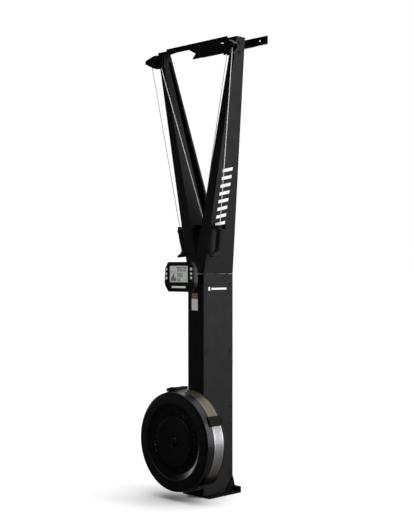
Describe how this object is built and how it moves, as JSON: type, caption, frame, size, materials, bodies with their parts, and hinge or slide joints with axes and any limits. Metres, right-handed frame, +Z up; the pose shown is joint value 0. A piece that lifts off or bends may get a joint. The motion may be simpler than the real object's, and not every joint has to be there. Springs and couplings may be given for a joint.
{
  "type": "ski trainer",
  "caption": "Upright wall-braced ski trainer: column with two leaning arms, corded pull handles over pulleys, an air brake flywheel in a banded housing and a tilting console.",
  "frame": {"origin": "centre of the base plate's underside, on the floor", "axes": "+Z up, -Y towards the user, +Y towards the wall, +X to the machine's right as seen from the user"},
  "size_m": [0.6078, 0.375, 2.154],
  "materials": {
    "black_steel": "satin black powder coat",
    "column_paint": "satin charcoal powder coat",
    "dark_screws": "black oxide",
    "bright_steel": "ground",
    "raw_steel": "turned",
    "cast_housing": "as cast",
    "alloy": "turned",
    "black_plastic": "fine moulded texture",
    "gloss_black": "semi-gloss",
    "pulley_nylon": "moulded nylon",
    "blade_plastic": "moulded",
    "band_steel": "perforated, pale",
    "cord": "braided",
    "elastic": "braided over rubber",
    "grip_rubber": "matte",
    "screen": "flat",
    "label": "printed plate without text",
    "button_grey": "matte"
  },
  "bodies": {
    "frame": {"base_plate": "black_steel", "base_gussets": "black_steel", "levelling_screws": "dark_screws", "left_side_plate": "column_paint", "right_side_plate": "column_paint", "front_cover": "black_steel", "rear_cover": "black_steel", "column_screws": "dark_screws", "top_flange": "raw_steel", "frame_bolts": "dark_screws", "left_arm": "column_paint", "right_arm": "column_paint", "top_plate": "black_steel", "arm_bolts": "dark_screws", "wall_bar": "black_steel", "wall_bar_bolts": "dark_screws", "label_plate": "label", "guide_plates": "black_steel", "guide_axle": "dark_screws", "left_pulley_housing": "black_plastic", "right_pulley_housing": "black_plastic", "top_pulley_axles": "dark_screws", "fan_rear_cover": "black_plastic", "perforated_band": "band_steel", "fan_front_cover": "black_plastic", "fan_centre_disc": "gloss_black", "band_clips": "black_steel", "clip_screws": "dark_screws", "bearing_housing": "cast_housing", "bearing_plate": "raw_steel", "bearings": "bright_steel", "return_cords": "elastic", "drive_cords": "cord", "handle_holders": "black_steel", "console_bracket": "black_steel"},
    "fan_wheel": {"flywheel": "raw_steel", "fan_blades": "blade_plastic", "axle": "bright_steel"},
    "left_reel": {"left_drum": "alloy", "left_clutch": "bright_steel"},
    "right_reel": {"right_drum": "alloy", "right_clutch": "bright_steel"},
    "left_top_wheel": {"left_top_pulley": "pulley_nylon"},
    "right_top_wheel": {"right_top_pulley": "pulley_nylon"},
    "front_guide_wheel": {"front_guide_pulley": "pulley_nylon"},
    "rear_guide_wheel": {"rear_guide_pulley": "pulley_nylon"},
    "left_cord_swing": {"left_handle_cord": "cord"},
    "right_cord_swing": {"right_handle_cord": "cord"},
    "left_handle": {"left_grip": "grip_rubber"},
    "right_handle": {"right_grip": "grip_rubber"},
    "console": {"console_back": "black_plastic", "console_front": "gloss_black", "console_screen": "screen", "console_pin": "bright_steel"},
    "left_button_1": {"left_button_1": "button_grey"},
    "left_button_2": {"left_button_2": "button_grey"},
    "left_button_3": {"left_button_3": "button_grey"},
    "right_button_1": {"right_button_1": "button_grey"},
    "right_button_2": {"right_button_2": "button_grey"},
    "right_button_3": {"right_button_3": "button_grey"}
  },
  "joints": [
    {"name": "fan_wheel_spin", "type": "hinge", "parent": "frame", "child": "fan_wheel", "pos_m": [0, -0.2, 0.272], "axis": [0, 1, 0], "continuous": true},
    {"name": "left_cord_swing_out", "type": "hinge", "parent": "frame", "child": "left_cord_swing", "pos_m": [-0.27257, -0.14268, 2.05996], "axis": [-0.8554, 0.5062, -0.1099], "range_deg": [0, 32]},
    {"name": "left_handle_pull", "type": "slide", "parent": "left_cord_swing", "child": "left_handle", "axis": [-0.1693, -0.0727, 0.9829], "range_m": [-0.1, 0.7], "deforming": ["left_handle_cord"]},
    {"name": "right_cord_swing_out", "type": "hinge", "parent": "frame", "child": "right_cord_swing", "pos_m": [0.27257, -0.14268, 2.05996], "axis": [-0.8554, -0.5062, 0.1099], "range_deg": [0, 32]},
    {"name": "right_handle_pull", "type": "slide", "parent": "right_cord_swing", "child": "right_handle", "axis": [0.1693, -0.0727, 0.9829], "range_m": [-0.1, 0.7], "deforming": ["right_handle_cord"]},
    {"name": "right_top_wheel_turn", "type": "hinge", "parent": "frame", "child": "right_top_wheel", "pos_m": [0.252, -0.136, 2.064], "axis": [0.309, 0.9511, 0], "range_deg": [-1900, 300]},
    {"name": "left_top_wheel_turn", "type": "hinge", "parent": "frame", "child": "left_top_wheel", "pos_m": [-0.252, -0.136, 2.064], "axis": [-0.309, 0.9511, 0], "range_deg": [-300, 1900]},
    {"name": "rear_guide_wheel_turn", "type": "hinge", "parent": "frame", "child": "rear_guide_wheel", "pos_m": [0, -0.046, 1.25], "axis": [0, 1, 0], "range_deg": [-1700, 300]},
    {"name": "front_guide_wheel_turn", "type": "hinge", "parent": "frame", "child": "front_guide_wheel", "pos_m": [0, -0.066, 1.25], "axis": [0, 1, 0], "range_deg": [-300, 1700]},
    {"name": "right_reel_turn", "type": "hinge", "parent": "frame", "child": "right_reel", "pos_m": [0, -0.025, 0.272], "axis": [0, 1, 0], "range_deg": [-1700, 300]},
    {"name": "left_reel_turn", "type": "hinge", "parent": "frame", "child": "left_reel", "pos_m": [0, -0.07, 0.272], "axis": [0, 1, 0], "range_deg": [-300, 1700]},
    {"name": "console_tilt", "type": "hinge", "parent": "frame", "child": "console", "pos_m": [0, -0.161, 1.029], "axis": [1, 0, 0], "range_deg": [-20, 20]},
    {"name": "left_button_1_press", "type": "slide", "parent": "console", "child": "left_button_1", "axis": [0, 1, 0], "range_m": [0, 0.001], "stiffness_N_per_m": 300, "springref_m": -0.001},
    {"name": "left_button_2_press", "type": "slide", "parent": "console", "child": "left_button_2", "axis": [0, 1, 0], "range_m": [0, 0.001], "stiffness_N_per_m": 300, "springref_m": -0.001},
    {"name": "left_button_3_press", "type": "slide", "parent": "console", "child": "left_button_3", "axis": [0, 1, 0], "range_m": [0, 0.001], "stiffness_N_per_m": 300, "springref_m": -0.001},
    {"name": "right_button_1_press", "type": "slide", "parent": "console", "child": "right_button_1", "axis": [0, 1, 0], "range_m": [0, 0.001], "stiffness_N_per_m": 300, "springref_m": -0.001},
    {"name": "right_button_2_press", "type": "slide", "parent": "console", "child": "right_button_2", "axis": [0, 1, 0], "range_m": [0, 0.001], "stiffness_N_per_m": 300, "springref_m": -0.001},
    {"name": "right_button_3_press", "type": "slide", "parent": "console", "child": "right_button_3", "axis": [0, 1, 0], "range_m": [0, 0.001], "stiffness_N_per_m": 300, "springref_m": -0.001}
  ],
  "couplings": [
    {"joint": "right_top_wheel_turn", "follows": "right_handle_pull", "rad_per_m": -45.455},
    {"joint": "left_top_wheel_turn", "follows": "left_handle_pull", "rad_per_m": 45.455},
    {"joint": "rear_guide_wheel_turn", "follows": "right_handle_pull", "rad_per_m": -40},
    {"joint": "front_guide_wheel_turn", "follows": "left_handle_pull", "rad_per_m": 40},
    {"joint": "right_reel_turn", "follows": "right_handle_pull", "rad_per_m": -40},
    {"joint": "left_reel_turn", "follows": "left_handle_pull", "rad_per_m": 40}
  ]
}
